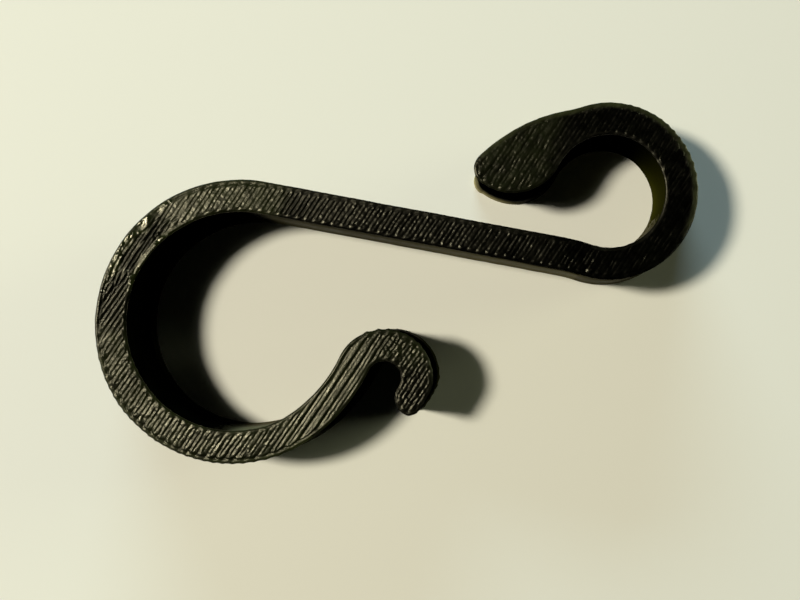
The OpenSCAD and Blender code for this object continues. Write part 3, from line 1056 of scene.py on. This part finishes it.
def make_floor():
    mesh = bpy.data.meshes.new("floor")
    r, z = FLOOR_HALF, FLOOR_Z
    mesh.from_pydata([(-r, -r, z), (r, -r, z), (r, r, z), (-r, r, z)], [], [(0, 1, 2, 3)])
    floor = bpy.data.objects.new("floor", mesh)
    bpy.context.scene.collection.objects.link(floor)
    mat = bpy.data.materials.new("floor")
    mat.use_nodes = True
    bsdf = mat.node_tree.nodes["Principled BSDF"]
    bsdf.inputs["Base Color"].default_value = (*FLOOR_COLOUR, 1)
    bsdf.inputs["Roughness"].default_value = 0.9
    bsdf.inputs["Specular IOR Level"].default_value = 0.1
    mesh.materials.append(mat)


def make_world():
    """A near-black world with one low glow, which the camera doesn't see."""
    world = bpy.data.worlds.new("studio")
    bpy.context.scene.world = world
    world.use_nodes = True
    nt = world.node_tree
    nt.nodes.clear()
    out = nt.nodes.new("ShaderNodeOutputWorld")
    back = nt.nodes.new("ShaderNodeBackground")
    back.inputs["Color"].default_value = (*GLOW_COLOUR, 1)
    nt.links.new(back.outputs["Background"], out.inputs["Surface"])
    co = nt.nodes.new("ShaderNodeTexCoord")
    sep = nt.nodes.new("ShaderNodeSeparateXYZ")
    nt.links.new(co.outputs["Generated"], sep.inputs["Vector"])
    toward = nt.nodes.new("ShaderNodeVectorMath")
    toward.operation = "DOT_PRODUCT"
    toward.inputs[1].default_value = GLOW_WAY
    nt.links.new(co.outputs["Generated"], toward.inputs[0])
    low = ramp(nt, sep.outputs["Z"], GLOW_LOW, GLOW_HIGH, GLOW_LEVEL, 0.0, "SMOOTHSTEP")
    near = ramp(nt, toward.outputs["Value"], GLOW_RIM, GLOW_CORE, 0.0, 1.0, "SMOOTHSTEP")
    glow = maths(nt, "MULTIPLY_ADD", low, near)
    glow.inputs[2].default_value = SKY_LEVEL
    path = nt.nodes.new("ShaderNodeLightPath")
    unseen = ramp(nt, path.outputs["Is Camera Ray"], 0.0, 1.0, 1.0, 0.0)
    shown = maths(nt, "MULTIPLY", glow.outputs["Value"], unseen)
    nt.links.new(shown.outputs["Value"], back.inputs["Strength"])


def make_lamp(name, azimuth, elevation, away, size, level, colour, glossy):
    """An oval lamp that the camera doesn't see. At level 1 it lights a flat white surface to white."""
    a, e = math.radians(azimuth), math.radians(elevation)
    at = Vector((math.cos(a) * math.cos(e), math.sin(a) * math.cos(e), math.sin(e))) * away
    lamp = bpy.data.lights.new(name, "AREA")
    lamp.shape = "ELLIPSE"
    lamp.size, lamp.size_y = size
    lamp.energy = level * math.pi ** 2 * away ** 2 / math.sin(e)
    lamp.color = colour
    obj = bpy.data.objects.new(name, lamp)
    obj.location = at
    obj.rotation_euler = (-at).to_track_quat("-Z", "Y").to_euler()
    obj.visible_camera = False
    obj.visible_glossy = glossy
    bpy.context.scene.collection.objects.link(obj)


def make_camera():
    cam = bpy.data.cameras.new("camera")
    cam.sensor_width = SENSOR_MM
    cam.lens = SENSOR_MM * FOCAL_PX / PHOTO_W
    cam.shift_x = (PHOTO_W / 2 - UNDER_CAMERA_PX[0]) / PHOTO_W
    cam.shift_y = (UNDER_CAMERA_PX[1] - PHOTO_H / 2) / PHOTO_W
    cam.clip_start = 0.002
    obj = bpy.data.objects.new("camera", cam)
    obj.location = CAMERA_AT
    obj.rotation_euler = (0, 0, math.radians(CAMERA_TURN))
    bpy.context.scene.collection.objects.link(obj)
    bpy.context.scene.camera = obj


make_camera()
# the walls' copy carries their painted light, and the copy without gloss is painted shade
wall_mat = plastic("plastic_walls", WALL_DARK, WALL_LIGHT, WALL_PAINTED_LIGHT, 0.03)
painted_shade_mat = plastic("plastic_painted_shade", DARK, LIGHT, SHADE_MAT_PAINTED_LIGHT, 0.0)
top_mat = plastic("plastic_top", DARK, LIGHT, TOP_PALE_SHEEN, 0.29)
faint_mat = plastic("plastic_top_faint", DARK, LIGHT, TOP_PALE_SHEEN, 0.14)
for piece, mats in ((make_lower_layers(), (wall_mat, painted_shade_mat, top_mat)),
                    (make_top_layer(), (top_mat, faint_mat))):
    for mat in mats:
        piece.data.materials.append(mat)
    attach(piece, "root")
    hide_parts("s_hook")
make_floor()
make_world()
for lamp in LAMPS:
    make_lamp(*lamp)
bpy.context.scene.view_settings.view_transform = "Standard"
